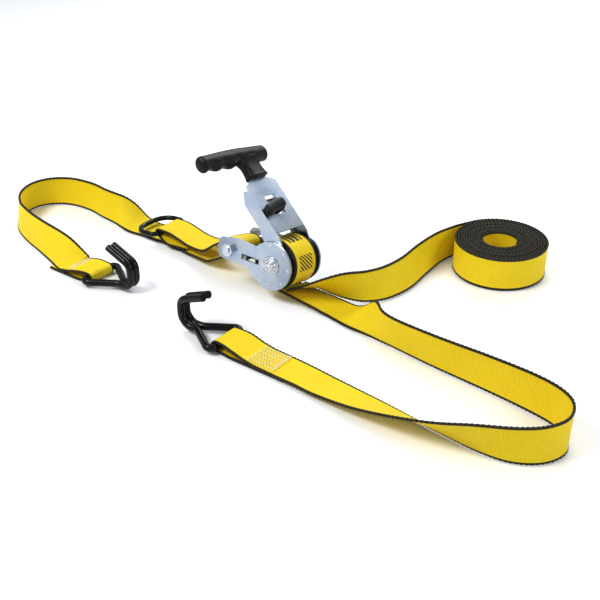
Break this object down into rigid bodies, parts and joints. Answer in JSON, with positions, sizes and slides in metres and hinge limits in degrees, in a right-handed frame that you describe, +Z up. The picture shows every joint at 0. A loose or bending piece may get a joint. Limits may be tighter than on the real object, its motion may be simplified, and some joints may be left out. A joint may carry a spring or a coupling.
{
  "type": "ratchet tie down",
  "caption": "Ratchet tie down: webbing straps with double J wire hooks and a ring, and a geared spool turned by a T-grip handle.",
  "frame": {"origin": "on the resting surface, straight below the middle of the spool's axle", "axes": "+X runs from the strap bolt to the spool, +Y runs to the far side along the spool's axle as seen from above, +Z is up"},
  "size_m": [0.7565, 0.3886, 0.157],
  "materials": {
    "zinc_plate": "bright zinc plated pressed steel",
    "fastener": "zinc plated steel",
    "webbing": "woven polyester webbing with a black edge",
    "grip_plastic": "fine-grained moulded plastic",
    "coated_wire": "dipped plastic coating over steel wire"
  },
  "bodies": {
    "base": {"base_plate_near": "zinc_plate", "base_plate_far": "zinc_plate", "strap_bolt": "fastener", "strap_nut": "fastener", "bolt_sleeve": "zinc_plate", "frame_crossbar": "zinc_plate", "lock_pawl_spring": "fastener", "long_strap_back_run": "webbing", "long_strap_turn": "webbing", "long_strap_tail": "webbing", "long_strap_hook_end": "webbing", "strap_roll": "webbing", "short_strap_base": "webbing", "short_strap_loop": "webbing", "short_strap_hook_end": "webbing", "short_strap_lead": "webbing", "bolt_strap_turn": "webbing", "ring_keeper_strap": "webbing", "ring_keeper_tuck": "webbing", "ring_keeper_bend": "webbing"},
    "spool": {"spool_half_front": "zinc_plate", "spool_half_rear": "zinc_plate", "ratchet_wheel_near": "zinc_plate", "ratchet_wheel_far": "zinc_plate", "hub_pin_near": "fastener", "hub_pin_far": "fastener", "hub_cap_near": "zinc_plate", "hub_cap_far": "zinc_plate", "spool_wrap": "webbing"},
    "handle": {"handle_channel": "zinc_plate", "t_grip": "grip_plastic", "handle_crossbar": "zinc_plate", "drive_pawl_spring": "fastener"},
    "drive_pawl": {"drive_pawl": "zinc_plate", "release_tab": "grip_plastic"},
    "lock_pawl": {"lock_pawl": "zinc_plate"},
    "d_ring": {"d_ring": "coated_wire"},
    "long_hook": {"long_hook": "coated_wire"},
    "short_hook": {"short_hook": "coated_wire"}
  },
  "joints": [
    {"name": "handle_pivot", "type": "hinge", "parent": "base", "child": "handle", "pos_m": [0, 0, 0.0365], "axis": [0, 0.9848, -0.1736], "range_deg": [-39, 90]},
    {"name": "spool_turn", "type": "hinge", "parent": "base", "child": "spool", "pos_m": [0, 0, 0.0365], "axis": [0, 0.9848, -0.1736], "continuous": true},
    {"name": "drive_pawl_slide", "type": "slide", "parent": "handle", "child": "drive_pawl", "axis": [0.7431, -0.1162, -0.659], "range_m": [-0.008, 0.0024], "stiffness_N_per_m": 3000, "deforming": ["drive_pawl_spring"]},
    {"name": "lock_pawl_slide", "type": "slide", "parent": "base", "child": "lock_pawl", "axis": [1, 0, 0], "range_m": [-0.004, 0.0024], "stiffness_N_per_m": 3000, "deforming": ["lock_pawl_spring"]},
    {"name": "d_ring_swing", "type": "hinge", "parent": "base", "child": "d_ring", "pos_m": [-0.196, 0.02, 0.0124], "axis": [0, 1, 0], "range_deg": [0, 120]},
    {"name": "long_hook_swing", "type": "hinge", "parent": "base", "child": "long_hook", "pos_m": [0.02, -0.124, 0.0063], "axis": [0, 1, 0], "range_deg": [-90, 100]},
    {"name": "short_hook_swing", "type": "hinge", "parent": "base", "child": "short_hook", "pos_m": [-0.187, -0.104, 0.0063], "axis": [0, 1, 0], "range_deg": [-100, 90]}
  ]
}
